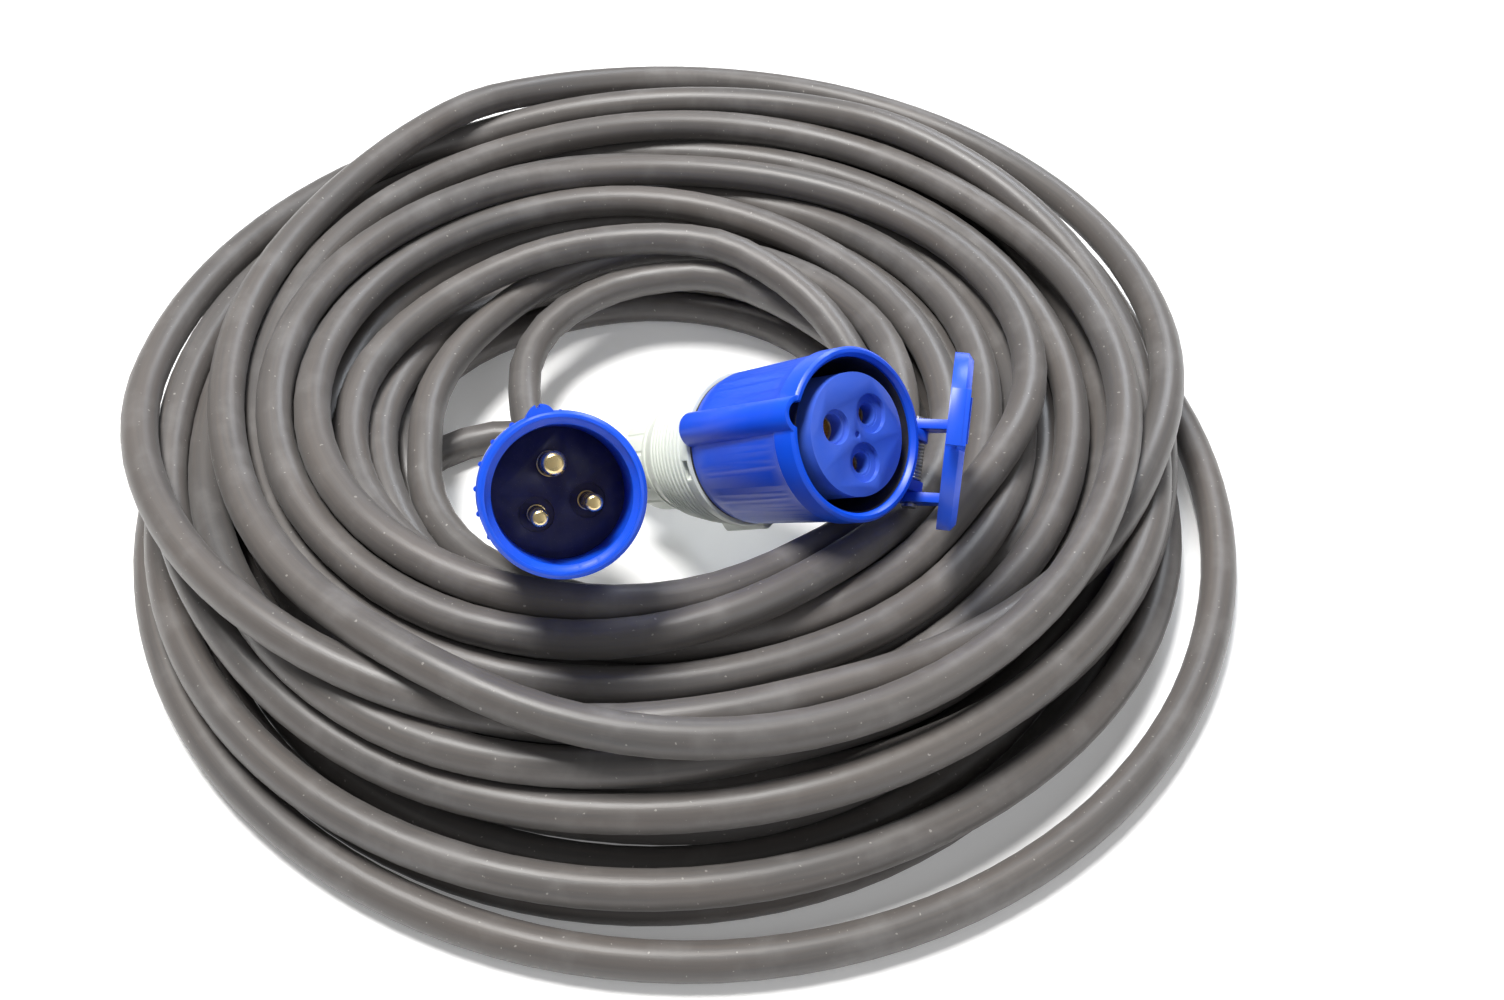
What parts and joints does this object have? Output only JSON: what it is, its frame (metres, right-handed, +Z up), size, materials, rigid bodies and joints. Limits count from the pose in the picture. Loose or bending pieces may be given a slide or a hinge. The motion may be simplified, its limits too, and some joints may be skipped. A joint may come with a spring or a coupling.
{
  "type": "shore power cord",
  "caption": "Coiled caravan and RV shore power cord: round pinned plug on one end, round connector with a sprung hinged lid on the other, heavy rubber cable.",
  "frame": {"origin": "on the floor, under the centre of the coil's footprint", "axes": "+Z up from the floor the coil lies on, +X to the right and -Y towards the side that the plug faces"},
  "size_m": [0.3819, 0.3859, 0.1216],
  "materials": {
    "blue_shell": "satin moulded polyamide",
    "navy_insert": "matt moulded",
    "brass": "turned, nickel-dulled",
    "steel": "zinc plated",
    "grey_housing": "satin moulded",
    "seal_rubber": "matt",
    "core_brown": "extruded",
    "core_blue": "extruded",
    "core_green": "extruded, green and yellow",
    "cable_rubber": "dull black rubber with a little bloom"
  },
  "bodies": {
    "cord_set": {"plug_shroud": "blue_shell", "plug_pin_carrier": "navy_insert", "plug_earth_pin": "brass", "plug_live_pin": "brass", "plug_neutral_pin": "brass", "plug_terminal_screws": "steel", "plug_rear_housing": "grey_housing", "plug_housing_seal": "seal_rubber", "plug_cord_clamp": "navy_insert", "plug_clamp_screws": "steel", "plug_gland_seal": "seal_rubber", "plug_gland_nut": "grey_housing", "plug_cable_end": "cable_rubber", "plug_live_core": "core_brown", "plug_neutral_core": "core_blue", "plug_earth_core": "core_green", "connector_collar": "blue_shell", "connector_contact_carrier": "navy_insert", "connector_earth_contact": "brass", "connector_live_contact": "brass", "connector_neutral_contact": "brass", "connector_terminal_screws": "steel", "connector_rear_housing": "grey_housing", "connector_housing_seal": "seal_rubber", "connector_cord_clamp": "navy_insert", "connector_clamp_screws": "steel", "connector_gland_seal": "seal_rubber", "connector_gland_nut": "grey_housing", "connector_cable_end": "cable_rubber", "connector_live_core": "core_brown", "connector_neutral_core": "core_blue", "connector_earth_core": "core_green", "lid_hinge_pin": "steel", "lid_spring": "steel", "cord_coil": "cable_rubber", "plug_lead": "cable_rubber", "connector_lead": "cable_rubber"},
    "lid": {"connector_lid": "blue_shell", "lid_gasket": "seal_rubber"}
  },
  "joints": [
    {"name": "lid_hinge", "type": "hinge", "parent": "cord_set", "child": "lid", "pos_m": [0.07813, -0.0467, 0.05819], "axis": [0.1301, 0.8418, 0.524], "range_deg": [-44, 36]}
  ]
}
